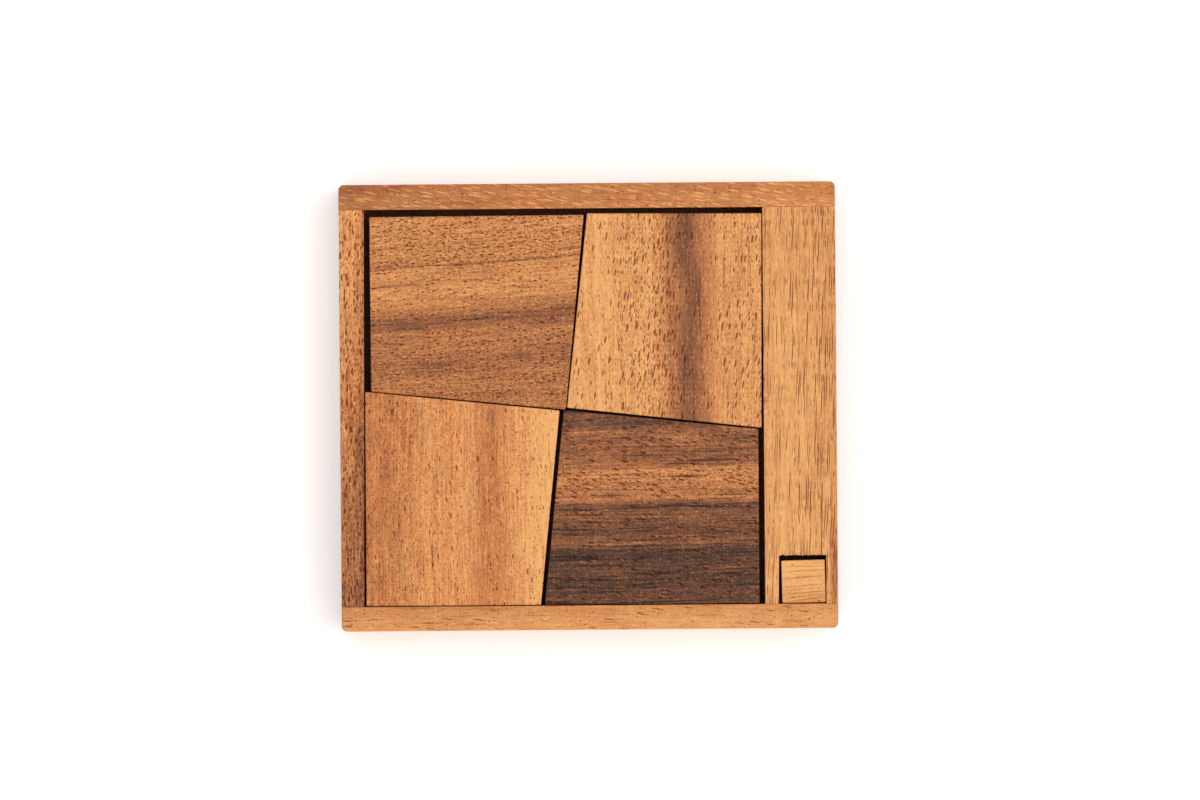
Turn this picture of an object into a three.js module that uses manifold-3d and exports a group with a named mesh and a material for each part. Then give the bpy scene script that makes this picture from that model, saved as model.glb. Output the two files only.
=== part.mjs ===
// Wooden tray packing puzzle. Loose tiles, cut from one square along two crossing seams, lie in a
// shallow glued tray, and a small extra square waits in a notch sawn into the end of the wide rail.
// The puzzle is to lift every tile out, turn it half round and lay all the pieces back in the tray
// with the small square in the middle.
// Millimetres, +Z up, origin under the centre of the tray. +Y is the back, +X the wide rail's side.
import * as THREE from "three";
import { mergeVertices } from "three/addons/utils/BufferGeometryUtils.js";
import Module from "manifold-3d";

// ---- Driving dimensions ----
const tileSquare = 97.4; // side of the square that the four tiles make when they lie tight
const seamAngle = 5.9; // degrees that the two seams lean from the square's sides
const tileThickness = 10.6;
const trayPlayX = 2.25; // how much wider than the tile square the tray is inside
const trayPlayY = 1.9;
const backRailWidth = 6.3;
const frontRailWidth = 6.1;
const leftRailWidth = 6.3;
const leftRailTaper = 0.6; // how much narrower the left rail is at its front end
const rimAboveTiles = 0.4; // how far the rails stand above the tiles
const floorThickness = 5;
const rebateDepth = 3; // how far the floor board runs into the long rails
const notchInnerCheek = 3.4; // wood left between the notch and the tray's inside
const notchOuterCheek = 2.9; // wood left between the notch and the outer face
const notchPlayX = 0.9; // how much wider than the small square the notch is
const notchPlayY = 1.35;
const squarePlay = 0.58; // how much smaller the small square is than the middle it has to fill
const squareTrim = 0.3; // how much shorter than wide the small square was sawn
const squareGap = 0.1; // between the small square and the notch walls that it leans on
const squareTurn = 1.2; // degrees, as it lies in the notch
const trayCornerRadius = 1.3;
const trayEase = 0.6; // sanded round on the tray's outer edges
const tileEase = 0.3; // sanded round on the edges of the loose pieces
const tileCornerRadius = 0.4;
const trayCurveSegments = 8; // facets round a corner of the tray
const tileCurveSegments = 4; // and round a corner of a loose piece
const easeSegments = 4; // and over an eased edge

// How the tiles lie. Pushed snug into the front left corner, the four would close up into their square.
// alongX and alongY move a tile from there to the right and to the back, and lean swings it round
// counter-clockwise, each as a share of the tray's play. intoTaper moves a tile left, into the room
// that the left rail's taper makes. quarter is the tile's own quarter turn.
const tiles = [
  { name: "back_left_tile", quarter: 0, alongX: 0.66, alongY: 0.15, lean: 0.08, intoTaper: 0 },
  { name: "back_right_tile", quarter: 3, alongX: 0.77, alongY: 0.38, lean: -0.19, intoTaper: 0 },
  { name: "front_left_tile", quarter: 1, alongX: 0.05, alongY: 0.07, lean: -0.01, intoTaper: 0.35 },
  { name: "front_right_tile", quarter: 2, alongX: 0.4, alongY: 0.11, lean: -0.03, intoTaper: 0 },
];
const colors = {
  floor_board: 0x5f4030,
  back_rail: 0xc98450,
  front_rail: 0xdb965c,
  left_rail: 0xb77850,
  right_rail: 0xdfa066,
  back_left_tile: 0xba7b50,
  back_right_tile: 0xd3905b,
  front_left_tile: 0xd88d56,
  front_right_tile: 0x7f543e,
  small_square: 0xe9a766,
};

// ---- Sizes that follow ----
const seam = THREE.MathUtils.degToRad(seamAngle);
const halfSquare = tileSquare / 2;
const seamRun = halfSquare * Math.tan(seam); // how far a seam leans over half the square
const insideX = tileSquare + trayPlayX;
const insideY = tileSquare + trayPlayY;
// Turned half round, the tiles leave a square in the middle, whose side follows from the tray's inside.
const middleSide = Math.min(insideX, insideY) * (Math.cos(seam) + Math.sin(seam)) - tileSquare;
const smallSquareX = middleSide - squarePlay;
const smallSquareY = smallSquareX - squareTrim;
const notchX = smallSquareX + notchPlayX;
const notchY = smallSquareY + notchPlayY;
const rightRailWidth = notchInnerCheek + notchX + notchOuterCheek;
const trayX = leftRailWidth + insideX + rightRailWidth;
const trayY = frontRailWidth + insideY + backRailWidth;
const trayHeight = floorThickness + tileThickness + rimAboveTiles;
const outer = { left: -trayX / 2, right: trayX / 2, front: -trayY / 2, back: trayY / 2 };
const inside = {
  left: outer.left + leftRailWidth,
  right: outer.right - rightRailWidth,
  front: outer.front + frontRailWidth,
  back: outer.back - backRailWidth,
};
const pastAll = 5; // how far a cutter runs past what it cuts
const weld = 1e-4; // points closer than this are one point

// ---- Solids ----
const wasm = await Module();
wasm.setup();

function solidOf(geometry) {
  const bare = new THREE.BufferGeometry();
  bare.setAttribute("position", geometry.getAttribute("position"));
  if (geometry.index) bare.setIndex(geometry.index);
  const merged = mergeVertices(bare, weld);
  return new wasm.Manifold(
    new wasm.Mesh({
      numProp: 3,
      vertProperties: merged.attributes.position.array,
      triVerts: new Uint32Array(merged.index.array),
    }),
  );
}

function geometryOf(solid) {
  const mesh = solid.getMesh();
  const geometry = new THREE.BufferGeometry();
  geometry.setAttribute("position", new THREE.BufferAttribute(mesh.vertProperties, 3));
  geometry.setIndex(new THREE.BufferAttribute(mesh.triVerts, 1));
  const flat = geometry.toNonIndexed();
  flat.computeVertexNormals();
  return flat;
}

// A block between two opposite corners.
function block(x0, x1, y0, y1, z0, z1) {
  const box = new THREE.BoxGeometry(x1 - x0, y1 - y0, z1 - z0);
  return solidOf(box.translate((x0 + x1) / 2, (y0 + y1) / 2, (z0 + z1) / 2));
}

// A closed outline through these points, counter-clockwise, with its corners rounded.
function roundedOutline(points, radius) {
  const corners = points.map(([x, y]) => new THREE.Vector2(x, y));
  const shape = new THREE.Shape();
  corners.forEach((corner, i) => {
    const toBefore = corners.at(i - 1).clone().sub(corner).normalize();
    const toAfter = corners[(i + 1) % corners.length].clone().sub(corner).normalize();
    const halfAngle = Math.acos(toBefore.dot(toAfter)) / 2;
    const toCentre = toBefore.clone().add(toAfter).setLength(radius / Math.sin(halfAngle));
    const centre = corner.clone().add(toCentre);
    const startAngle = toBefore.angle() + Math.PI / 2;
    const endAngle = toAfter.angle() - Math.PI / 2;
    shape.absarc(centre.x, centre.y, radius, startAngle, endAngle, false);
  });
  return shape;
}

// A board of this outline, standing from the base up, with its top and bottom edges sanded round.
function easedBoard(outline, base, thickness, ease, curveSegments) {
  const geometry = new THREE.ExtrudeGeometry(outline, {
    depth: thickness - 2 * ease,
    bevelEnabled: true,
    bevelThickness: ease,
    bevelSize: ease,
    bevelOffset: -ease,
    bevelSegments: easeSegments,
    curveSegments,
  });
  return geometry.translate(0, 0, base + ease);
}

function rectangle(x0, x1, y0, y1) {
  return [
    [x0, y0],
    [x1, y0],
    [x1, y1],
    [x0, y1],
  ];
}

// ---- The tray: five glued boards, sanded together on the outside ----
const trayOutline = roundedOutline(
  rectangle(outer.left, outer.right, outer.front, outer.back),
  trayCornerRadius,
);
const sandedOutside = solidOf(easedBoard(trayOutline, 0, trayHeight, trayEase, trayCurveSegments));

// The floor board runs under the side rails and into a rebate along each long rail.
function floorBoard() {
  const front = inside.front - rebateDepth;
  const back = inside.back + rebateDepth;
  return block(outer.left, outer.right, front, back, 0, floorThickness);
}

// A long rail, between its inner and outer face, with the rebate for the floor board cut out.
function longRail(innerFace, outerFace) {
  const toInside = Math.sign(innerFace - outerFace);
  const rebateEnd = innerFace - toInside * rebateDepth;
  const past = innerFace + toInside * pastAll;
  const [y0, y1] = [innerFace, outerFace].sort((a, b) => a - b);
  const [r0, r1] = [rebateEnd, past].sort((a, b) => a - b);
  const rebate = block(outer.left - pastAll, outer.right + pastAll, r0, r1, -pastAll, floorThickness);
  return block(outer.left, outer.right, y0, y1, 0, trayHeight).subtract(rebate);
}

// The left rail stands on the floor board between the long rails, and narrows towards the front.
function leftRail() {
  const outline = new THREE.Shape([
    new THREE.Vector2(outer.left, inside.front),
    new THREE.Vector2(inside.left - leftRailTaper, inside.front),
    new THREE.Vector2(inside.left, inside.back),
    new THREE.Vector2(outer.left, inside.back),
  ]);
  const geometry = new THREE.ExtrudeGeometry(outline, {
    depth: trayHeight - floorThickness,
    bevelEnabled: false,
  });
  return solidOf(geometry.translate(0, 0, floorThickness));
}

// The wide right rail, with the small square's notch sawn into its front end.
const notch = {
  left: inside.right + notchInnerCheek,
  right: outer.right - notchOuterCheek,
  back: inside.front + notchY,
};
function rightRail() {
  const opening = block(
    notch.left,
    notch.right,
    inside.front - pastAll,
    notch.back,
    -pastAll,
    trayHeight + pastAll,
  );
  const { right: x0, front: y0, back: y1 } = inside;
  const rail = block(x0, outer.right, y0, y1, floorThickness, trayHeight);
  return rail.subtract(opening);
}

// ---- The loose pieces ----
// A tile's own frame has its origin where the seams cross. This outline is the back left tile's. The
// others are the same tile turned by quarters.
const tileOutline = roundedOutline(
  [
    [0, 0],
    [seamRun, halfSquare],
    [-halfSquare, halfSquare],
    [-halfSquare, seamRun],
  ],
  tileCornerRadius,
);

// ---- Assembly ----
const puzzle = new THREE.Group();

function add(name, geometry) {
  const wood = new THREE.MeshStandardMaterial({ color: colors[name], roughness: 0.5, metalness: 0 });
  const mesh = new THREE.Mesh(geometry, wood);
  mesh.name = name;
  puzzle.add(mesh);
  return mesh;
}

function addTrayBoard(name, solid) {
  add(name, geometryOf(solid.intersect(sandedOutside)));
}

addTrayBoard("floor_board", floorBoard());
addTrayBoard("back_rail", longRail(inside.back, outer.back));
addTrayBoard("front_rail", longRail(inside.front, outer.front));
addTrayBoard("left_rail", leftRail());
addTrayBoard("right_rail", rightRail());

const tileGeometry = easedBoard(tileOutline, floorThickness, tileThickness, tileEase, tileCurveSegments);
const smallerPlay = Math.min(trayPlayX, trayPlayY);
for (const { name, quarter, alongX, alongY, lean, intoTaper } of tiles) {
  const tile = add(name, tileGeometry);
  const x = inside.left + halfSquare + alongX * trayPlayX - intoTaper * leftRailTaper;
  const y = inside.front + halfSquare + alongY * trayPlayY;
  tile.position.set(x, y, 0);
  tile.rotation.z = THREE.MathUtils.degToRad(90 * quarter) + (lean * smallerPlay) / halfSquare;
}

// The small square leans on the front rail and on the notch's outer cheek.
const turned = THREE.MathUtils.degToRad(squareTurn);
const reachX = (smallSquareX * Math.cos(turned) + smallSquareY * Math.sin(turned)) / 2;
const reachY = (smallSquareY * Math.cos(turned) + smallSquareX * Math.sin(turned)) / 2;
const squareOutline = roundedOutline(
  rectangle(-smallSquareX / 2, smallSquareX / 2, -smallSquareY / 2, smallSquareY / 2),
  tileCornerRadius,
);
const smallSquare = add(
  "small_square",
  easedBoard(squareOutline, floorThickness, tileThickness, tileEase, tileCurveSegments),
);
smallSquare.position.set(notch.right - squareGap - reachX, inside.front + squareGap + reachY, 0);
smallSquare.rotation.z = turned;

export default puzzle;
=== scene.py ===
"""Finish for a wooden tray packing puzzle: sanded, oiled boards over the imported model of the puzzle."""

import math

import bmesh
import bpy
from bpy.props import FloatProperty, FloatVectorProperty, PointerProperty
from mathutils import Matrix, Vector, noise


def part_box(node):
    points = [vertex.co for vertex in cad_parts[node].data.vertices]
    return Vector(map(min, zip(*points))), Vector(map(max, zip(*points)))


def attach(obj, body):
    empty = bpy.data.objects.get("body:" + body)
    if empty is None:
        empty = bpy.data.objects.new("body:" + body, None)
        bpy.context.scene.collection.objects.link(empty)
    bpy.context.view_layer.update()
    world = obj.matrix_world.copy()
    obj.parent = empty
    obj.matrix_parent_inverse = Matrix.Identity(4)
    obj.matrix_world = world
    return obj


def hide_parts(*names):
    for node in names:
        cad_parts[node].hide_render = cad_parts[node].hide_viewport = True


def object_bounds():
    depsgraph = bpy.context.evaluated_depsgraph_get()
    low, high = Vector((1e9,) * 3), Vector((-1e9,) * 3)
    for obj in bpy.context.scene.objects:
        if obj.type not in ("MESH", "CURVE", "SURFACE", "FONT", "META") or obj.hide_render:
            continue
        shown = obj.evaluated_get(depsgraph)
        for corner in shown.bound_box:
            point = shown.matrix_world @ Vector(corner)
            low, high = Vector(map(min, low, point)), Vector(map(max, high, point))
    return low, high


bl_info = {
    "name": "Wooden tray puzzle",
    "version": (1, 0, 0),
    "blender": (4, 5, 0),
    "location": "3D View > Sidebar > Puzzle",
    "description": "Makes the boards, the loose tiles and the stage of a wooden tray puzzle",
    "category": "Object",
}

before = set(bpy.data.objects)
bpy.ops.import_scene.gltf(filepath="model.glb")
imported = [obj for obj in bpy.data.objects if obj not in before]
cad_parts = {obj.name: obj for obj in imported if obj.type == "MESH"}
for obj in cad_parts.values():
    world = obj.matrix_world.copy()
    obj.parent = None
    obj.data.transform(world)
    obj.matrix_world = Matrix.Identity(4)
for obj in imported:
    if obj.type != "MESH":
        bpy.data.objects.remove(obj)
CAD_BOX = [list(corner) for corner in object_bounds()]
MM = 0.001
RIM = CAD_BOX[1][2]  # height of the tray's rim above the table


# ---- Sizes, colours and finish ----


def paint(code):
    """A colour written as six hex digits, as the linear numbers that shaders take."""
    values = [int(code[i : i + 2], 16) / 255 for i in (0, 2, 4)]
    return [v / 12.92 if v < 0.04045 else ((v + 0.055) / 1.055) ** 2.4 for v in values]


def length(name, description, default):
    return FloatProperty(name=name, description=description, default=default, unit="LENGTH", precision=5)


def factor(name, description, default):
    return FloatProperty(name=name, description=description, default=default, subtype="FACTOR")


def colour(name, description, code):
    return FloatVectorProperty(
        name=name, description=description, default=paint(code), subtype="COLOR", size=3, min=0, max=1
    )


class PuzzleSizes(bpy.types.PropertyGroup):
    """Small sizes of the finish and the stage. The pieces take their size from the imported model."""

    joint_ease: length("Joint ease", "Sanded round on the edges of the glued boards", 0.12 * MM)
    saw_step: length("Saw step", "How far apart the marks of the saw are along a tile's edge", 1.4 * MM)
    saw_waver: length("Saw waver", "How far a tile's edge strays inwards from straight", 0.05 * MM)
    torn_step: length("Torn step", "Width of one torn fibre at the back of the notch", 0.22 * MM)
    torn_depth: length("Torn depth", "How far fibres are torn back behind the notch", 0.4 * MM)
    torn_height: length("Torn height", "How far down from the top the fibres are torn", 0.9 * MM)
    view_width: length("View width", "Width of the tray's plane that the camera sees", 300 * MM)
    view_right: length("View right", "How far the view's centre is to the right of the tray's", 2.94 * MM)
    view_back: length("View back", "How far the view's centre is behind the tray's", 1.58 * MM)
    view_height: length("View height", "Height of the camera above the rim", 2.5)
    table_width: length("Table width", "Side of the plain table top", 8.0)
    table_gap: length("Table gap", "How far the table top lies below the boards", 0.02 * MM)
    lamp_width: length("Lamp width", "Side of the soft lamp", 2.0)
    lamp_right: length("Lamp right", "How far the soft lamp is to the right of the tray", 1.6)
    lamp_back: length("Lamp back", "How far the soft lamp is behind the tray's middle", 0.3)
    lamp_height: length("Lamp height", "Height of the soft lamp above the table", 2.2)


class PuzzleColours(bpy.types.PropertyGroup):
    """Shades of the one kind of wood, from its darkest heartwood to its palest sapwood."""

    shade_1: colour("Shade 1", "Darkest heartwood", "321b10")
    shade_2: colour("Shade 2", "Walnut brown", "432d20")
    shade_3: colour("Shade 3", "Chestnut brown", "5d3e2d")
    shade_4: colour("Shade 4", "Reddish brown", "7a4d32")
    shade_5: colour("Shade 5", "Brown tan", "99613d")
    shade_6: colour("Shade 6", "Orange tan", "b77847")
    shade_7: colour("Shade 7", "Honey", "cd8c55")
    shade_8: colour("Shade 8", "Palest sapwood", "e4aa6a")
    pore: colour("Pores", "What is left of the light in an open pore", "a08078")
    blush: colour("Blush", "What is left of the light where the wood is ruddy", "fcece4")
    # Dark stain with painted shade for the floor board's top, standing in for the shade deep in the gaps
    # between the pieces
    stain_and_shade: colour("Stain", "Dark stain on the floor of the tray", "3a2012")
    fleck: colour("Flecks", "Pale flecks of fibre", "e0a878")
    table: colour("Table", "Plain white table top", "fafafa")
    sky: colour("Room", "Light of the room all round", "fffdfb")


class PuzzleFinish(bpy.types.PropertyGroup):
    """Strengths of the oil finish and of the stage's light."""

    oil_roughness: factor("Oil roughness", "Roughness of the oiled wood between its pores", 0.46)
    pore_roughness: factor("Pore roughness", "How much rougher an open pore is", 0.25)
    streak_roughness: factor("Streak roughness", "How much rougher a pale streak is than a dark one", 0.3)
    oil_shine: factor("Oil shine", "Strength of the oil's reflections", 0.2)
    relief: factor("Relief", "Strength of the fine relief of pores and fibres", 0.6)
    relief_depth: length("Relief depth", "Depth of the fine relief", 0.08 * MM)
    table_glow: factor("Table glow", "Light given back by the white table top", 0.16)
    room_light: factor("Room light", "Strength of the light all round", 1.02)
    lamp_power: FloatProperty(
        name="Lamp power", description="Power of the soft lamp", default=18, unit="POWER"
    )
    view_turn: FloatProperty(
        name="View turn",
        description="How far the camera is turned about its line of sight",
        default=math.radians(-0.4625),
        subtype="ANGLE",
    )


SHADES = ["shade_%d" % i for i in range(1, 9)]
SHADE_STOPS = [0.0, 0.15, 0.27, 0.38, 0.53, 0.68, 0.82, 1.0]  # where each shade lies from dark to pale


def sizes():
    return bpy.context.scene.puzzle_sizes


def colours():
    return bpy.context.scene.puzzle_colours


def finish():
    return bpy.context.scene.puzzle_finish


# ---- Wood ----
# One entry for each board. Places and sizes are millimetres from the middle of the board's top, along the
# grain and across it. Paleness runs from 0 in the darkest heartwood to 1 in the palest sapwood.
#   turn        direction of the grain, in degrees
#   rise, fan   how fast the grain climbs across the board, and how much faster for each millimetre across
#   slant       how fast the pores and flecks lean away from the grain
#   wander      how far the grain strays from its line
#   ragged      how far a band's border strays from the grain
#   bands       place across, paleness, and how many pores there are, from 0 to 1
#   ends        how much paler the wood is at the start of the board, and at its finish
#   strokes     place along, place across, half length, half width, and how much paler the stroke is
#   streaks, threads, fibres, grit   strength of the grain's marks, from the longest to the finest
#   lines, pores, specks, flecks     length and width of one mark, and how crowded such marks are
#   line_depth, fleck_lift           how much darker a line is, and how much paler a fleck
#   blush       strength of the ruddy patches
#   stain_and_shade_top how much of the dark stain and painted shade is on the board's top
ALONG_X = 0.0
ALONG_Y = -90.0
LINE_DEPTH = 0.16  # for a board that doesn't say its own
FLECK_LIFT = 0.14  # for a board that doesn't say its own

WOODS = {
    "back_left_tile": dict(
        turn=ALONG_X,
        rise=0.063,
        fan=0.0013,
        wander=1.0,
        ragged=0.55,
        bands=[
            (-24.5, 0.61, 0.7),
            (-17, 0.60, 0.7),
            (-14, 0.55, 0.7),
            (-12.3, 0.50, 0.6),
            (-10.8, 0.54, 0.5),
            (-9.3, 0.58, 0.7),
            (-6.3, 0.60, 0.7),
            (-4.8, 0.60, 0.6),
            (-3.4, 0.53, 0.4),
            (-2.9, 0.43, 0.3),
            (-2.4, 0.53, 0.3),
            (-1.7, 0.40, 0.3),
            (-1.1, 0.48, 0.3),
            (-0.6, 0.41, 0.3),
            (0.0, 0.52, 0.3),
            (1.2, 0.60, 0.3),
            (2.7, 0.69, 0.3),
            (4.2, 0.73, 0.4),
            (5.7, 0.78, 0.5),
            (8.7, 0.74, 0.4),
            (11.4, 0.74, 0.5),
            (12.2, 0.72, 0.6),
            (12.5, 0.38, 0.8),
            (12.9, 0.70, 0.9),
            (17.7, 0.73, 1.0),
            (20.7, 0.74, 0.9),
            (24.5, 0.73, 0.8),
        ],
        strokes=[
            (-19.4, 8.1, 8, 0.35, -0.24),
            (-15.9, 8.8, 4, 0.3, -0.2),
            (-18, -2.8, 6, 0.9, -0.2),
            (0.6, -1.4, 7, 0.6, -0.16),
            (21, 0, 7, 0.8, -0.16),
            (-10.4, -11.9, 8, 0.9, -0.14),
            (11, -11, 4, 1.3, -0.12),
        ],
        streaks=0.32,
        threads=0.42,
        fibres=0.42,
        grit=0.5,
        lines=(10, 0.3, 0.6),
        pores=(1.0, 0.4, 0.8),
        specks=(0.55, 0.34, 1.0),
        flecks=(0.8, 0.34, 0.8),
        blush=0.5,
    ),
    "back_right_tile": dict(
        turn=ALONG_Y,
        rise=0.0,
        slant=0.18,
        wander=1.0,
        ragged=0.9,
        bands=[
            (-24.5, 0.9, 0.2),
            (-18.5, 0.87, 0.2),
            (-17, 0.92, 0.2),
            (-14, 0.9, 0.25),
            (-12.5, 0.89, 0.3),
            (-11, 0.83, 0.5),
            (-9.5, 0.86, 0.4),
            (-8, 0.85, 0.7),
            (-5, 0.86, 0.9),
            (-3.5, 0.86, 1.0),
            (-2, 0.8, 1.0),
            (-0.5, 0.74, 1.0),
            (1, 0.65, 1.0),
            (2.5, 0.54, 0.8),
            (4, 0.47, 0.5),
            (5.5, 0.43, 0.3),
            (7, 0.45, 0.2),
            (8.5, 0.52, 0.2),
            (10, 0.62, 0.2),
            (11.5, 0.71, 0.2),
            (13, 0.81, 0.3),
            (14.5, 0.84, 0.4),
            (16, 0.83, 0.4),
            (17.5, 0.81, 0.5),
            (19, 0.84, 0.4),
            (20.5, 0.82, 0.5),
            (22, 0.86, 0.5),
            (24.5, 0.86, 0.3),
        ],
        strokes=[
            (-22.7, 4.8, 12, 3, -0.1),
            (-6.7, 8.3, 9, 2, -0.12),
            (-8, 3.3, 9, 2, 0.09),
            (11.3, 5, 10, 2.6, -0.1),
            (6.3, -10.6, 24, 0.3, -0.14),
            (9, -7.9, 17, 0.3, -0.12),
            (11, 14.3, 17, 0.3, -0.2),
            (-9, 15, 10, 0.3, -0.18),
            (-14, 18.8, 11, 0.3, -0.16),
            (-11, 21.3, 14, 0.35, -0.2),
            (7.3, 22.3, 14, 0.3, -0.18),
        ],
        streaks=0.26,
        threads=0.3,
        fibres=0.42,
        grit=0.46,
        lines=(14, 0.3, 0.7),
        line_depth=0.14,
        pores=(2.1, 0.44, 1.0),
        specks=(0.9, 0.3, 0.6),
        flecks=(0.9, 0.3, 0.5),
        blush=0.4,
    ),
    "front_left_tile": dict(
        turn=ALONG_Y,
        rise=0.0,
        slant=-0.1,
        wander=1.4,
        ragged=1.2,
        bands=[
            (-24.4, 0.69, 0.6),
            (-21.7, 0.70, 0.7),
            (-18.7, 0.69, 0.7),
            (-17.2, 0.68, 0.7),
            (-15.7, 0.70, 0.6),
            (-14.2, 0.74, 0.5),
            (-12.7, 0.77, 0.5),
            (-11.2, 0.80, 0.5),
            (-9.7, 0.84, 0.4),
            (-6.7, 0.82, 0.4),
            (-3.7, 0.84, 0.4),
            (0.8, 0.84, 0.3),
            (2.3, 0.79, 0.3),
            (3.8, 0.75, 0.3),
            (5.3, 0.72, 0.3),
            (6.8, 0.70, 0.3),
            (8.3, 0.72, 0.3),
            (9.8, 0.76, 0.3),
            (11.3, 0.81, 0.3),
            (12.8, 0.84, 0.3),
            (14.3, 0.88, 0.3),
            (17.3, 0.94, 0.3),
            (24.4, 1.0, 0.4),
        ],
        strokes=[
            (-19.8, -11.4, 8, 2.4, -0.08),
            (13.2, -9.4, 16, 1, 0.09),
            (19, -7, 10, 0.7, 0.07),
            (8.7, -8.7, 6, 0.22, -0.4),
            (14.2, -7.9, 6, 0.22, -0.3),
            (18.2, -10.2, 7, 0.22, -0.26),
            (-20.8, 8, 5, 2.6, -0.1),
            (4.2, 5.5, 10, 1.8, -0.06),
            (-8.8, 22, 7, 0.25, -0.2),
            (16, 19.5, 8, 0.25, -0.16),
        ],
        streaks=0.4,
        threads=0.4,
        fibres=0.38,
        grit=0.46,
        lines=(12, 0.3, 0.5),
        pores=(1.5, 0.34, 0.3),
        specks=(0.55, 0.32, 0.6),
        flecks=(0.7, 0.3, 0.5),
        blush=1.6,
    ),
    "front_right_tile": dict(
        turn=ALONG_X,
        rise=0.01,
        slant=0.34,
        wander=0.9,
        ragged=0.5,
        bands=[
            (-24.4, 0.30, 0.5),
            (-23.4, 0.26, 0.5),
            (-20.5, 0.26, 0.6),
            (-19, 0.20, 0.6),
            (-16, 0.26, 0.5),
            (-13, 0.20, 0.5),
            (-10.6, 0.22, 0.4),
            (-9.8, 0.36, 0.4),
            (-8.8, 0.41, 0.4),
            (-8.0, 0.33, 0.5),
            (-6.5, 0.29, 0.6),
            (-4, 0.33, 0.6),
            (-2.5, 0.40, 0.6),
            (-1, 0.33, 0.5),
            (0.4, 0.32, 0.4),
            (1.2, 0.54, 0.4),
            (2.2, 0.60, 0.5),
            (5, 0.63, 1.0),
            (8, 0.69, 1.0),
            (9.4, 0.66, 0.6),
            (10.1, 0.52, 0.5),
            (12.5, 0.45, 0.6),
            (14, 0.42, 0.7),
            (15.5, 0.50, 0.7),
            (17, 0.43, 0.7),
            (18.5, 0.50, 0.6),
            (19.6, 0.38, 0.5),
            (20.6, 0.29, 0.4),
            (24.3, 0.30, 0.4),
        ],
        strokes=[
            (22.4, 16.5, 10, 1.8, -0.1),
            (-16.6, 19.3, 12, 0.4, 0.2),
            (-10.6, 15.8, 12, 0.4, -0.14),
            (6.4, 17.1, 14, 0.4, 0.12),
            (14.4, 13.6, 11, 0.45, -0.15),
            (-13.6, 12.7, 10, 0.35, 0.12),
            (20.3, 2.7, 7, 0.4, -0.26),
            (-15.6, 0.8, 11, 0.6, -0.14),
            (6.4, -7.5, 9, 0.4, 0.17),
            (19.4, -15.8, 9, 0.6, 0.15),
            (-18, -20, 8, 0.5, 0.06),
        ],
        streaks=0.4,
        threads=0.6,
        fibres=0.46,
        grit=0.5,
        lines=(14, 0.35, 0.8),
        line_depth=0.22,
        pores=(1.6, 0.52, 0.9),
        specks=(0.6, 0.34, 1.0),
        flecks=(0.7, 0.28, 0.5),
        fleck_lift=0.12,
        blush=0.4,
    ),
    "small_square": dict(
        turn=ALONG_X,
        rise=0.075,
        fan=-0.011,
        wander=0.4,
        ragged=0.25,
        bands=[
            (-5.4, 0.84, 0.3),
            (-3.4, 0.88, 0.3),
            (0.0, 0.92, 0.2),
            (2.6, 0.97, 0.1),
            (4.0, 0.98, 0.1),
            (5.4, 0.98, 0.1),
        ],
        strokes=[
            (3, 4.5, 6, 0.3, -0.1),
            (0, 3.7, 9, 0.34, -0.2),
            (1, 2.6, 9, 0.36, -0.26),
            (0, 1.0, 9, 0.4, -0.24),
            (0, -1.1, 9, 0.34, -0.22),
            (-1, -2.0, 8, 0.3, -0.16),
            (1, -2.9, 9, 0.34, -0.24),
            (-1, -3.7, 8, 0.3, -0.18),
            (0, -4.6, 9, 0.34, -0.22),
        ],
        streaks=0.14,
        threads=0.2,
        fibres=0.22,
        grit=0.24,
        lines=(6, 0.3, 0.2),
        pores=(0.8, 0.25, 0.1),
        specks=(0.5, 0.25, 0.1),
        flecks=(0.8, 0.25, 0.3),
        blush=0.1,
    ),
    "right_rail": dict(
        turn=ALONG_Y,
        rise=0.0,
        slant=0.05,
        wander=0.8,
        ragged=0.5,
        bands=[
            (-9.1, 0.84, 0.6),
            (-6, 0.88, 0.5),
            (-2, 0.88, 0.6),
            (2, 0.87, 0.7),
            (5, 0.85, 0.9),
            (7, 0.84, 1.0),
            (9.1, 0.78, 1.0),
        ],
        ends=(-0.02, 0.04),
        strokes=[
            (42, 8.4, 20, 1.7, -0.26),
            (24, 7.6, 12, 0.5, -0.12),
            (-20, 8.2, 16, 0.5, -0.08),
            (30, -2, 18, 0.3, -0.1),
            (28, 2.4, 14, 0.3, -0.12),
            (12, 4.6, 16, 0.3, -0.1),
            (45, -7, 8, 0.3, -0.2),
        ],
        streaks=0.2,
        threads=0.26,
        fibres=0.2,
        grit=0.22,
        lines=(14, 0.2, 0.9),
        line_depth=0.15,
        pores=(10.0, 0.24, 0.8),
        specks=(2.2, 0.22, 0.45),
        flecks=(0.8, 0.25, 0.3),
        blush=0.0,
    ),
    "left_rail": dict(
        turn=ALONG_Y,
        rise=0.0,
        wander=0.8,
        ragged=1.5,
        bands=[
            (-3.2, 0.81, 0.8),
            (0, 0.75, 0.9),
            (2, 0.67, 1.0),
            (3.2, 0.6, 1.0),
        ],
        ends=(0.16, -0.26),
        strokes=[
            (-28, 1.6, 9, 0.7, -0.14),
            (6, 1.9, 14, 0.8, -0.14),
            (26, -1, 9, 1, -0.1),
            (-8, -1.6, 7, 0.5, -0.14),
            (40, 1.5, 9, 0.9, 0.1),
        ],
        streaks=0.26,
        threads=0.4,
        fibres=0.4,
        grit=0.5,
        lines=(7, 0.4, 0.9),
        line_depth=0.14,
        pores=(1.8, 0.5, 1.0),
        specks=(1.0, 0.36, 0.9),
        flecks=(0.8, 0.25, 0.5),
        blush=1.0,
    ),
    "back_rail": dict(
        turn=ALONG_X,
        rise=0.0,
        slant=0.2,
        wander=0.6,
        ragged=0.8,
        bands=[
            (-3.2, 0.70, 0.3),
            (0, 0.68, 0.3),
            (3.2, 0.64, 0.4),
        ],
        ends=(-0.07, 0.07),
        strokes=[
            (-57, 0.8, 9, 3, -0.08),
            (-49, 1.6, 3, 1.2, -0.12),
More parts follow.
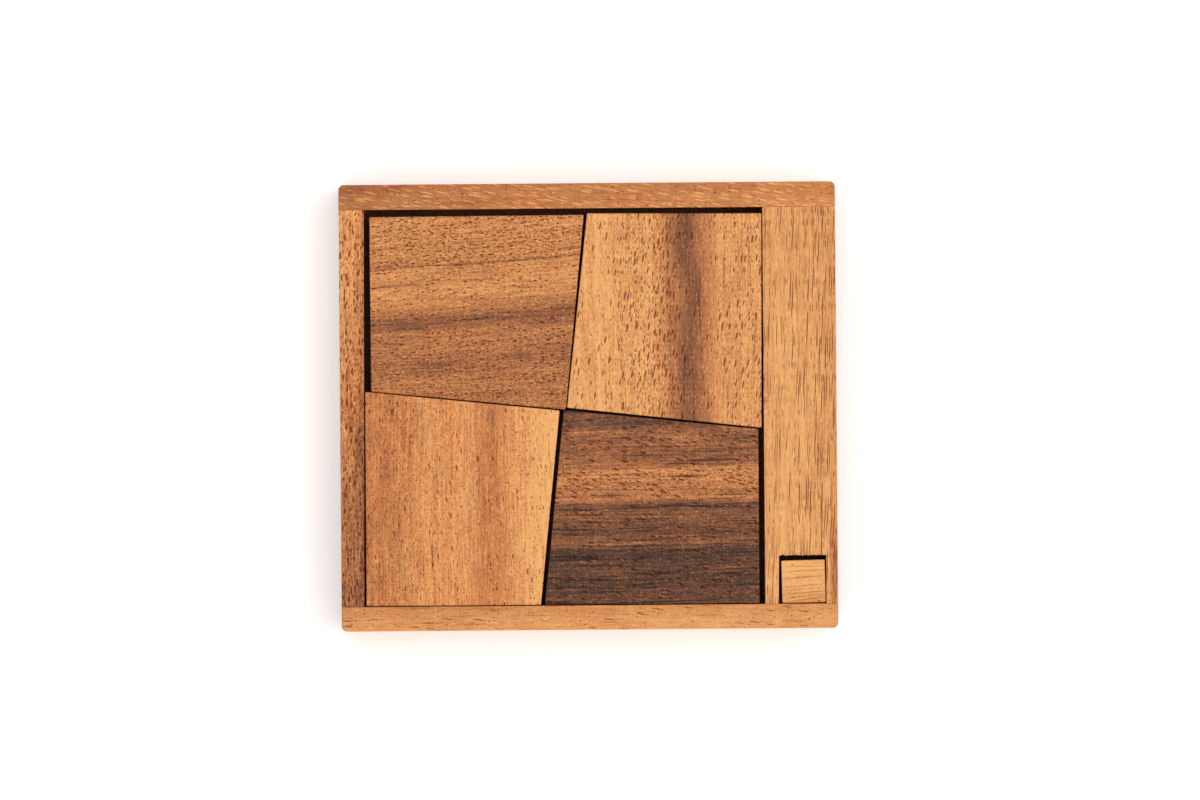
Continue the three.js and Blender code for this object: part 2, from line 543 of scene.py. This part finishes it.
            (-30, -1.8, 9, 0.8, -0.08),
            (-20, 0.5, 8, 1.2, 0.05),
            (30, 1.5, 16, 0.5, -0.08),
        ],
        streaks=0.16,
        threads=0.2,
        fibres=0.28,
        grit=0.3,
        lines=(6, 0.35, 0.3),
        pores=(0.9, 0.25, 0.3),
        specks=(0.5, 0.25, 0.4),
        flecks=(3.0, 0.36, 0.8),
        fleck_lift=0.24,
        blush=0.9,
    ),
    "front_rail": dict(
        turn=ALONG_X,
        rise=0.0,
        slant=0.12,
        wander=0.6,
        ragged=0.8,
        bands=[
            (-3.1, 0.85, 0.5),
            (0, 0.83, 0.6),
            (3.1, 0.74, 0.5),
        ],
        ends=(-0.02, 0.03),
        strokes=[
            (-60.2, -0.3, 2.4, 0.2, -0.4),
            (-53.5, -0.1, 4, 0.24, -0.45),
            (-40.5, -0.9, 4.5, 0.2, -0.3),
            (-32, 0.7, 4.5, 0.18, -0.26),
            (-30, 2.6, 20, 0.5, -0.1),
            (5, -1.2, 6, 0.2, -0.25),
            (30, 0.4, 5, 0.2, -0.3),
            (52, -1.4, 4, 0.2, -0.3),
        ],
        streaks=0.18,
        threads=0.22,
        fibres=0.22,
        grit=0.22,
        lines=(9, 0.22, 0.5),
        pores=(3.0, 0.26, 0.25),
        specks=(0.8, 0.24, 0.3),
        flecks=(0.8, 0.25, 0.3),
        blush=0.6,
    ),
    "floor_board": dict(
        turn=ALONG_X,
        rise=0.02,
        wander=3.0,
        ragged=2.0,
        bands=[
            (-52, 0.36, 0.5),
            (-30, 0.3, 0.5),
            (-8, 0.4, 0.5),
            (14, 0.32, 0.5),
            (52, 0.38, 0.5),
        ],
        streaks=0.16,
        threads=0.2,
        fibres=0.3,
        grit=0.3,
        lines=(10, 0.4, 0.4),
        pores=(2.0, 0.35, 0.5),
        specks=(0.8, 0.3, 0.4),
        flecks=(1.2, 0.3, 0.4),
        blush=0.4,
        # painted shade: the floor's top is darkened towards the stain colour, for the shade deep in the
        # gaps
        stain_and_shade_top=0.5,
    ),
}

# Soft noises of the grain: length and width of one cloud in millimetres, its detail, and what the seed of a
# board is multiplied by, so that no two boards and no two noises are alike.
CLOUDS = {
    "wander": (38, 16, 2.0, 3.1),
    "ragged": (9, 0.9, 4.0, 1.7),
    "streaks": (26, 0.9, 4.0, 2.3),
    "threads": (10, 0.45, 2.0, 3.7),
    "fibres": (2.0, 0.4, 2.0, 5.9),
    "mottle": (6, 3.5, 3.0, 7.7),
    "grit": (0.65, 0.42, 1.0, 9.1),
    "ruddy": (20, 2.5, 2.0, 2.9),
}
CLOUD_ROUGHNESS = 0.55
PLACES = {"lines": 4.3, "pores": 1.3, "specks": 6.1, "flecks": 8.3}  # and the same number for the marks

CELL_LENGTHS = 1.35  # a mark's cell is this many marks long
CELL_WIDTHS = 2.3  # and this many marks wide
MARK_DEPTH = 0.6  # how fast a mark fades with its depth, against its width
SMALLEST_MARK = 0.6  # size of the smallest mark, against the usual one
MARK_SPREAD = 0.7  # and how much larger the largest is
MARK_EDGE = (-0.1, 0.3)  # how soft a mark's outline is
RIM_EDGE = (-0.8, 0.0)  # how far the pale rim reaches round a mark
RAREST = 0.72  # noise above this is a line where lines are rarest
DENSEST = 0.56  # and where they are most crowded
LINE_EDGE = 0.06  # how soft a line's outline is
STROKE_EDGE = (0.1, 1.0)  # where a stroke starts to fade, and where it ends
ENDLESS = 1000  # depth of a stroke, far more than any board's

FALL = 0.35  # how fast the grain slopes down through the board
MOTTLE = 0.2  # strength of the broad unevenness
DARK_GRAIN = 0.45  # strength of the grain in the darkest wood
PALE_GRAIN = 0.7  # and how much stronger it is in the palest
RIM_LIFT = 0.07  # how much paler the wood is round a pore
FLECK_TINT = 0.12  # how much of the flecks' own colour they show
SPECK_DARKNESS = 0.85  # darkness of a speck, against a pore
SIDE_FACE = 0.7  # a face turned more than this across the grain is one of the board's long sides
SAWN_END = (0.55, 0.9)  # a face turned this far towards the grain starts to be, and is, a sawn end
END_DARKNESS = 0.45  # how far a sawn end goes towards the end shade
STAIN_AND_SHADE_UP = (0.5, 0.9)  # a face turned up this far starts to be, and is, darkened with the dark stain and painted shade
RUDDY_EDGE = (0.3, 0.7)  # noise where a ruddy patch starts, and where it is full
RUDDY_WOOD = (1.0, 0.7, 0.2, 1.3)  # palest wood, darker wood, and the blush's strength in each
OIL_IOR = 1.45
TABLE_ROUGHNESS = 0.9
TABLE_SHINE = 0.1
SENSOR_WIDTH = 36  # millimetres, as for the lens


class Nodes:
    """Short words for wiring up one material."""

    def __init__(self, tree):
        self.tree = tree

    def add(self, kind, *values, **settings):
        """A node with these settings, its first inputs fed with numbers or with other nodes' outputs."""
        node = self.tree.nodes.new("ShaderNode" + kind)
        for name, value in settings.items():
            setattr(node, name, value)
        for socket, value in zip([s for s in node.inputs if s.enabled], values):
            self.feed(socket, value)
        return node

    def feed(self, socket, value):
        if isinstance(value, bpy.types.NodeSocket):
            self.tree.links.new(value, socket)
        elif value is not None:
            socket.default_value = value

    def sum(self, a, b):
        return self.add("Math", a, b, operation="ADD").outputs[0]

    def times(self, a, b):
        return self.add("Math", a, b, operation="MULTIPLY").outputs[0]

    def spread(self, value, low, high, first, last, soft=False):
        """A value between low and high, moved and stretched to run from first to last and held there."""
        steps = "SMOOTHSTEP" if soft else "LINEAR"
        return self.add("MapRange", value, low, high, first, last, interpolation_type=steps).outputs[0]

    def about_zero(self, value, reach):
        """A value that runs from 0 to 1, moved to lie about 0 and stretched to this reach."""
        return self.times(self.sum(value, -0.5), reach)

    def vector(self, x, y, z):
        return self.add("CombineXYZ", x, y, z).outputs[0]

    def moved(self, place, by, way):
        return self.add("VectorMath", place, by, operation=way).outputs[0]

    def faces(self, normal, way):
        """How far a face is turned towards a direction or its opposite, from 0 to 1."""
        turned = self.add("VectorMath", normal, way, operation="DOT_PRODUCT").outputs["Value"]
        return self.add("Math", turned, operation="ABSOLUTE").outputs[0]

    def cells(self, where, along, across, shift):
        """Places measured in grains this long and this wide instead of in millimetres, and moved on."""
        grains = self.moved(where, (1 / along, 1 / across, 1 / across), "MULTIPLY")
        return self.moved(grains, (shift,) * 3, "ADD")

    def cloud(self, where, along, across, detail, shift):
        """Soft noise from 0 to 1, stretched along the grain."""
        node = self.add("TexNoise", noise_dimensions="3D")
        self.feed(node.inputs["Vector"], self.cells(where, along, across, shift))
        self.feed(node.inputs["Scale"], 1.0)
        self.feed(node.inputs["Detail"], detail)
        self.feed(node.inputs["Roughness"], CLOUD_ROUGHNESS)
        return node.outputs["Fac"]

    def marks(self, where, mark, crowd, shift):
        """Marks spaced out along the grain, each in a cell of its own. The first result is 1 inside a mark,
        the second fades out round it. crowd thins the marks out from place to place."""
        long, wide, share = mark
        place = self.cells(where, long * CELL_LENGTHS, wide * CELL_WIDTHS, shift)
        cells = self.add("TexVoronoi", voronoi_dimensions="3D", feature="F1", distance="EUCLIDEAN")
        self.feed(cells.inputs["Vector"], place)
        self.feed(cells.inputs["Scale"], 1.0)
        away = self.moved(place, cells.outputs["Position"], "SUBTRACT")
        away = self.moved(away, (2 * CELL_LENGTHS, 2 * CELL_WIDTHS, MARK_DEPTH * CELL_WIDTHS), "MULTIPLY")
        away = self.add("VectorMath", away, operation="LENGTH").outputs["Value"]
        draw = self.add("SeparateColor", cells.outputs["Color"])
        kept = self.add("Math", draw.outputs[0], self.times(crowd, share), operation="LESS_THAN").outputs[0]
        size = self.sum(self.times(draw.outputs[1], MARK_SPREAD), SMALLEST_MARK)
        inside = self.add("Math", size, away, operation="SUBTRACT").outputs[0]
        rim = self.spread(inside, *RIM_EDGE, 0.0, kept)
        return self.spread(inside, *MARK_EDGE, 0.0, kept, soft=True), rim

    def lines(self, where, mark, shift):
        """Long irregular lines along the grain, 1 inside a line and 0 outside."""
        long, wide, share = mark
        edge = RAREST + share * (DENSEST - RAREST)
        grain = self.cloud(where, 2 * long, 2 * wide, 2.0, shift)
        return self.spread(grain, edge, edge + LINE_EDGE, 0.0, 1.0, soft=True)

    def strokes(self, where, strokes):
        """Single soft strokes along the grain, added up."""
        total = 0.0
        for along, across, long, wide, lift in strokes:
            place = self.frame(where, (along, across, 0), (0, 0, 0), (long, wide, ENDLESS))
            away = self.add("VectorMath", place, operation="LENGTH").outputs["Value"]
            total = self.sum(total, self.spread(away, *STROKE_EDGE, lift, 0.0, soft=True))
        return total

    def frame(self, where, origin, turn, unit):
        """Places as they are in a frame with this origin, turn and unit of length."""
        node = self.add("Mapping", vector_type="TEXTURE")
        self.feed(node.inputs["Vector"], where)
        self.feed(node.inputs["Location"], origin)
        self.feed(node.inputs["Rotation"], turn)
        self.feed(node.inputs["Scale"], unit)
        return node.outputs[0]

    def ramp(self, value, stops):
        """A ramp through (place, colour) stops, places from 0 to 1."""
        node = self.add("ValToRGB", value)
        elements = node.color_ramp.elements
        while len(elements) < len(stops):
            elements.new(1.0)
        for element, (place, tint) in zip(elements, stops):
            element.position = place
            element.color = tint
        return node

    def mix(self, share, under, over, way="MIX"):
        node = self.add("Mix", data_type="RGBA", blend_type=way)
        self.feed(node.inputs["Factor"], share)
        self.feed(node.inputs["A"], under)
        self.feed(node.inputs["B"], over)
        return node.outputs["Result"]


def wood_material(board, seed):
    """Oiled open-pored wood for one board, with that board's own bands and grain."""
    plan = WOODS[board]
    low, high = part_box(board)
    middle_of_top = ((low[0] + high[0]) / 2, (low[1] + high[1]) / 2, high[2])
    material = bpy.data.materials.new(board + "_oiled_wood")
    material.use_nodes = True
    tree = material.node_tree
    tree.nodes.clear()
    n = Nodes(tree)
    turn = math.radians(plan["turn"])
    palette = colours()

    def cloud(name, where):
        long, wide, detail, places = CLOUDS[name]
        return n.cloud(where, long, wide, detail, seed * places)

    def grain_marks(name):
        return n.about_zero(cloud(name, fibre), plan[name])

    # Millimetres in the board's own frame: X along the grain, Y across the face, Z up.
    coordinates = n.add("TexCoord")
    normal = coordinates.outputs["Normal"]
    own = n.frame(coordinates.outputs["Object"], middle_of_top, (0, 0, turn), (MM, MM, MM))
    along, across, up = n.add("SeparateXYZ", own).outputs

    # The grain wanders, climbs across the board and goes on down through it.
    wander = n.about_zero(cloud("wander", own), 2 * plan["wander"])
    rise = n.sum(n.times(across, plan.get("fan", 0.0)), plan["rise"])
    climbed = n.times(n.times(along, rise), -1.0)
    line = n.sum(n.sum(across, wander), n.sum(climbed, n.times(up, FALL)))
    fibre = n.vector(along, line, up)

    # Broad bands with ragged borders.
    border = n.sum(line, n.about_zero(cloud("ragged", fibre), 2 * plan["ragged"]))
    bands = plan["bands"]
    first, last = bands[0][0], bands[-1][0]
    band_place = n.spread(border, first, last, 0.0, 1.0)
    stops = [((mm - first) / (last - first), (pale, pale, pale, pores)) for mm, pale, pores in bands]
    band = n.ramp(band_place, stops)
    pale = n.add("SeparateColor", band.outputs["Color"]).outputs[0]
    crowd = band.outputs["Alpha"]

    # Paler or darker towards the ends of the board.
    grain_axis = 0 if plan["turn"] == ALONG_X else 1
    half = (high[grain_axis] - low[grain_axis]) / 2 / MM
    ends = n.spread(along, -half, half, *plan.get("ends", (0.0, 0.0)))

    # Streaks, threads, fibres and grit of the grain, stronger where the wood is pale, and single strokes.
    streaks, threads, fibres, grit = map(grain_marks, ("streaks", "threads", "fibres", "grit"))
    mottle = n.about_zero(cloud("mottle", fibre), MOTTLE)
    grain = n.sum(n.sum(streaks, threads), n.sum(fibres, grit))
    strength = n.sum(n.times(pale, PALE_GRAIN), DARK_GRAIN)
    tone = n.sum(n.sum(pale, ends), n.sum(mottle, n.times(grain, strength)))
    tone = n.sum(tone, n.strokes(n.vector(along, border, 0.0), plan.get("strokes", [])))

    # Dark lines and pores, and pale flecks. Up and across change places on the board's long sides.
    slant = n.times(along, plan.get("slant", 0.0))
    aside = n.faces(normal, (-math.sin(turn), math.cos(turn), 0))
    aside = n.add("Math", aside, SIDE_FACE, operation="GREATER_THAN").outputs[0]
    straight = n.mix(aside, fibre, n.vector(along, up, line))
    leaning = n.mix(aside, n.vector(along, n.sum(line, slant), up), n.vector(along, n.sum(up, slant), line))
    lines = n.lines(straight, plan["lines"], seed * PLACES["lines"])
    pores, pore_rim = n.marks(leaning, plan["pores"], crowd, seed * PLACES["pores"])
    specks, speck_rim = n.marks(straight, plan["specks"], crowd, seed * PLACES["specks"])
    flecks = n.marks(leaning, plan["flecks"], 1.0, seed * PLACES["flecks"])[0]
    rims = n.add("Math", pore_rim, speck_rim, operation="MAXIMUM").outputs[0]
    line_darkness = n.times(lines, -plan.get("line_depth", LINE_DEPTH))
    tone = n.sum(tone, n.sum(line_darkness, n.times(rims, RIM_LIFT)))
    tone = n.sum(tone, n.times(flecks, plan.get("fleck_lift", FLECK_LIFT)))

    # The tone picks the shade, and flecks, ruddy patches and open pores tint it.
    shades = [(stop, (*getattr(palette, name), 1)) for stop, name in zip(SHADE_STOPS, SHADES)]
    wood = n.ramp(tone, shades).outputs["Color"]
    wood = n.mix(n.times(flecks, FLECK_TINT), wood, (*palette.fleck, 1))
    ruddy = n.spread(cloud("ruddy", fibre), *RUDDY_EDGE, 0.0, plan["blush"])
    wood = n.mix(n.times(ruddy, n.spread(pale, *RUDDY_WOOD)), wood, (*palette.blush, 1), "MULTIPLY")
    dark = n.add("Math", pores, n.times(specks, SPECK_DARKNESS), operation="MAXIMUM").outputs[0]
    wood = n.mix(dark, wood, (*palette.pore, 1), "MULTIPLY")

    # Sawn ends drink more oil, so they are darker.
    endness = n.spread(n.faces(normal, (math.cos(turn), math.sin(turn), 0)), *SAWN_END, 0.0, END_DARKNESS)
    wood = n.mix(endness, wood, (*palette.shade_3, 1))
    # The floor's top is darkened towards the stain colour: a dark stain with painted shade, for the shade
    # that falls into the narrow gaps.
    if "stain_and_shade_top" in plan:
        upward = n.add("SeparateXYZ", normal).outputs[2]
        wood = n.mix(n.spread(upward, *STAIN_AND_SHADE_UP, 0.0, plan["stain_and_shade_top"]), wood, (*palette.stain_and_shade, 1))

    look = finish()
    shader = n.add("BsdfPrincipled")
    n.feed(shader.inputs["Base Color"], wood)
    smooth = n.sum(n.times(streaks, look.streak_roughness), look.oil_roughness)
    n.feed(shader.inputs["Roughness"], n.sum(n.times(dark, look.pore_roughness), smooth))
    n.feed(shader.inputs["IOR"], OIL_IOR)
    n.feed(shader.inputs["Specular IOR Level"], look.oil_shine)
    bump = n.add("Bump")
    n.feed(bump.inputs["Height"], n.sum(n.times(dark, -1.0), n.sum(fibres, grit)))
    n.feed(bump.inputs["Strength"], look.relief)
    n.feed(bump.inputs["Distance"], look.relief_depth)
    n.feed(shader.inputs["Normal"], bump.outputs[0])
    n.feed(n.add("OutputMaterial").inputs["Surface"], shader.outputs[0])
    return material


# ---- Boards ----
WELD = 0.001 * MM
FLAT = math.radians(1)  # triangles that meet at less than this are one face
SHARP = math.radians(50)  # edges sharper than this are eased
EASE_STEPS = 2  # flats that make up an eased edge
LARGE_FACES = 80  # how much more a large face counts than a small one in the shading


def cad_copy(board):
    """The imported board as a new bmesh, its loose triangles joined into whole faces."""
    shape = bmesh.new()
    shape.from_mesh(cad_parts[board].data)
    bmesh.ops.remove_doubles(shape, verts=shape.verts, dist=WELD)
    bmesh.ops.dissolve_limit(
        shape, angle_limit=FLAT, use_dissolve_boundaries=False, verts=shape.verts, edges=shape.edges
    )
    return shape


def finish_piece(shape, board, body, material, ease=0.0):
    """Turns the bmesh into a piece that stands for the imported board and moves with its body."""
    mesh = bpy.data.meshes.new(board + "_wood")
    bmesh.ops.recalc_face_normals(shape, faces=shape.faces)
    shape.to_mesh(mesh)
    shape.free()
    piece = bpy.data.objects.new(board + "_wood", mesh)
    bpy.context.scene.collection.objects.link(piece)
    mesh.polygons.foreach_set("use_smooth", [True] * len(mesh.polygons))
    mesh.materials.append(material)
    if ease:
        bevel = piece.modifiers.new("Joint ease", "BEVEL")
        bevel.width = ease
        bevel.segments = EASE_STEPS
        bevel.limit_method = "ANGLE"
        bevel.angle_limit = SHARP
        bevel.miter_outer = "MITER_ARC"
    normals = piece.modifiers.new("Flat faces", "WEIGHTED_NORMAL")
    normals.weight = LARGE_FACES
    normals.keep_sharp = True
    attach(piece, body)
    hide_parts(board)
    return piece


# Torn fibres behind the notch: a steady share of the full depth, and what broad and fine noise add to it.
TORN_SHARE, BROAD_TEAR, FINE_TEAR = 0.35, 1.2, 0.7
BROAD_FIBRE, FINE_FIBRE = 0.8 * MM, 0.3 * MM


def tear_notch(shape):
    """Sands the rail's edges round and tears the fibres where the top meets the back wall of the notch."""
    size = sizes()
    low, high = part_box("small_square")
    behind = Vector(((low[0] + high[0]) / 2, high[1], RIM))

    def from_square(edge):
        return ((edge.verts[0].co + edge.verts[1].co) / 2 - behind).length

    torn = min(shape.edges, key=from_square)
    bmesh.ops.bevel(
        shape,
        geom=[e for e in shape.edges if e is not torn and e.calc_face_angle() > SHARP],
        affect="EDGES",
        offset=size.joint_ease,
        offset_type="OFFSET",
        segments=EASE_STEPS,
        profile=0.5,
        material=-1,
        clamp_overlap=True,
    )
    torn = min(shape.edges, key=from_square)
    wall = min(torn.link_faces, key=lambda face: face.normal.y)
    cut = bmesh.ops.bisect_plane(
        shape,
        geom=[wall, *wall.edges, *wall.verts],
        dist=WELD,
        plane_co=(0, 0, RIM - size.torn_height),
        plane_no=(0, 0, 1),
    )
    foot = next(part for part in cut["geom_cut"] if isinstance(part, bmesh.types.BMEdge))
    cuts = round(torn.calc_length() / size.torn_step)
    split = bmesh.ops.subdivide_edges(shape, edges=[torn, foot], cuts=cuts, use_grid_fill=True)
    fibres = [v for v in split["geom_inner"] if isinstance(v, bmesh.types.BMVert) and v.co.z > RIM - WELD]
    for vertex in fibres:
        broad = noise.noise(Vector((vertex.co.x / BROAD_FIBRE, 0, 7)))
        fine = noise.noise(Vector((vertex.co.x / FINE_FIBRE, 3, 7)))
        share = TORN_SHARE + BROAD_TEAR * broad + FINE_TEAR * fine
        vertex.co.y += size.torn_depth * min(1.0, max(0.0, share))
        for edge in vertex.link_edges:
            edge.smooth = edge.other_vert(vertex).co.z < RIM - WELD


class PUZZLE_OT_tray(bpy.types.Operator):
    """Make the tray's five glued boards"""

    bl_idname = "puzzle.make_tray"
    bl_label = "Make the tray"

    def execute(self, context):
        boards = ("floor_board", "back_rail", "front_rail", "left_rail", "right_rail")
        for seed, board in enumerate(boards, 1):
            shape = cad_copy(board)
            ease = sizes().joint_ease
            if board == "right_rail":
                tear_notch(shape)
                ease = 0.0
            finish_piece(shape, board, "tray", wood_material(board, seed), ease)
        return {"FINISHED"}


# A sawn outline strays in broad waves and in fine ones: how long they are, and their shares of the waver.
BROAD_WAVE, FINE_WAVE = 7 * MM, 1.6 * MM
BROAD_SHARE, FINE_SHARE = 0.7, 0.3


def waver(shape, seed):
    """Lets a sawn and sanded outline stray inwards by a hair, evenly from top to bottom."""
    size = sizes()
    long_edges = [
        e
        for e in shape.edges
        if abs(e.verts[0].co.z - e.verts[1].co.z) < WELD and e.calc_length() > 4 * size.saw_step
    ]
    cuts = round(max(e.calc_length() for e in long_edges) / size.saw_step)
    bmesh.ops.subdivide_edges(shape, edges=long_edges, cuts=cuts, use_grid_fill=True)
    middle = sum((v.co for v in shape.verts), Vector()) / len(shape.verts)
    for vertex in shape.verts:
        flat = Vector((vertex.co.x, vertex.co.y, seed))
        broad = noise.noise(flat / BROAD_WAVE) * 0.5 + 0.5
        fine = noise.noise(flat / FINE_WAVE) * 0.5 + 0.5
        away = Vector((vertex.co.x - middle.x, vertex.co.y - middle.y, 0)).normalized()
        vertex.co -= away * size.saw_waver * (BROAD_SHARE * broad + FINE_SHARE * fine)


class PUZZLE_OT_tiles(bpy.types.Operator):
    """Make the loose tiles and the small square"""

    bl_idname = "puzzle.make_loose_pieces"
    bl_label = "Make the loose pieces"

    def execute(self, context):
        bodies = {
            "back_left_tile": "back_left",
            "back_right_tile": "back_right",
            "front_left_tile": "front_left",
            "front_right_tile": "front_right",
            "small_square": "middle_square",
        }
        for seed, (board, body) in enumerate(bodies.items(), 11):
            shape = cad_copy(board)
            waver(shape, seed)
            finish_piece(shape, board, body, wood_material(board, seed))
        return {"FINISHED"}


# ---- Stage ----


class PUZZLE_OT_stage(bpy.types.Operator):
    """Make the table, the lights and the camera"""

    bl_idname = "puzzle.make_stage"
    bl_label = "Make the stage"

    def execute(self, context):
        size, tint, look = sizes(), colours(), finish()
        scene = context.scene
        scene.view_settings.view_transform = "Standard"

        shape = bmesh.new()
        bmesh.ops.create_grid(shape, x_segments=1, y_segments=1, size=size.table_width / 2)
        bmesh.ops.translate(shape, vec=(0, 0, -size.table_gap), verts=shape.verts)
        mesh = bpy.data.meshes.new("table_top")
        shape.to_mesh(mesh)
        shape.free()
        table = bpy.data.objects.new("table_top", mesh)
        scene.collection.objects.link(table)
        material = bpy.data.materials.new("plain_white_table")
        material.use_nodes = True
        shader = material.node_tree.nodes["Principled BSDF"]
        shader.inputs["Base Color"].default_value = (*tint.table, 1)
        shader.inputs["Roughness"].default_value = TABLE_ROUGHNESS
        shader.inputs["Specular IOR Level"].default_value = TABLE_SHINE
        shader.inputs["Emission Color"].default_value = (1, 1, 1, 1)
        shader.inputs["Emission Strength"].default_value = look.table_glow
        mesh.materials.append(material)

        world = bpy.data.worlds.new("white_room")
        world.use_nodes = True
        sky = world.node_tree.nodes["Background"]
        sky.inputs["Color"].default_value = (*tint.sky, 1)
        sky.inputs["Strength"].default_value = look.room_light
        scene.world = world

        lamp = bpy.data.lights.new("soft_lamp", "AREA")
        lamp.shape = "SQUARE"
        lamp.size = size.lamp_width
        lamp.energy = look.lamp_power
        light = bpy.data.objects.new("soft_lamp", lamp)
        scene.collection.objects.link(light)
        light.location = (size.lamp_right, size.lamp_back, size.lamp_height)
        light.rotation_euler = Vector(light.location).to_track_quat("Z", "Y").to_euler()

        lens = bpy.data.cameras.new("camera_above")
        lens.sensor_width = SENSOR_WIDTH
        lens.lens = lens.sensor_width * size.view_height / size.view_width
        camera = bpy.data.objects.new("camera_above", lens)
        scene.collection.objects.link(camera)
        camera.location = (size.view_right, size.view_back, RIM + size.view_height)
        camera.rotation_euler = (0, 0, look.view_turn)
        scene.camera = camera
        return {"FINISHED"}


# ---- Panel and registration ----
STEPS = (PUZZLE_OT_tray, PUZZLE_OT_tiles, PUZZLE_OT_stage)


class PUZZLE_PT_panel(bpy.types.Panel):
    """Buttons and settings for the puzzle"""

    bl_label = "Wooden tray puzzle"
    bl_space_type = "VIEW_3D"
    bl_region_type = "UI"
    bl_category = "Puzzle"

    def draw(self, context):
        for step in STEPS:
            self.layout.operator(step.bl_idname)
        for group in (sizes(), colours(), finish()):
            column = self.layout.column()
            for name in group.__annotations__:
                column.prop(group, name)


CLASSES = (PuzzleSizes, PuzzleColours, PuzzleFinish, *STEPS, PUZZLE_PT_panel)


def register():
    for cls in CLASSES:
        bpy.utils.register_class(cls)
    bpy.types.Scene.puzzle_sizes = PointerProperty(type=PuzzleSizes)
    bpy.types.Scene.puzzle_colours = PointerProperty(type=PuzzleColours)
    bpy.types.Scene.puzzle_finish = PointerProperty(type=PuzzleFinish)


def unregister():
    del bpy.types.Scene.puzzle_sizes
    del bpy.types.Scene.puzzle_colours
    del bpy.types.Scene.puzzle_finish
    for cls in reversed(CLASSES):
        bpy.utils.unregister_class(cls)


def main():
    register()
    bpy.ops.puzzle.make_tray()
    bpy.ops.puzzle.make_loose_pieces()
    bpy.ops.puzzle.make_stage()


if __name__ == "__main__":
    main()
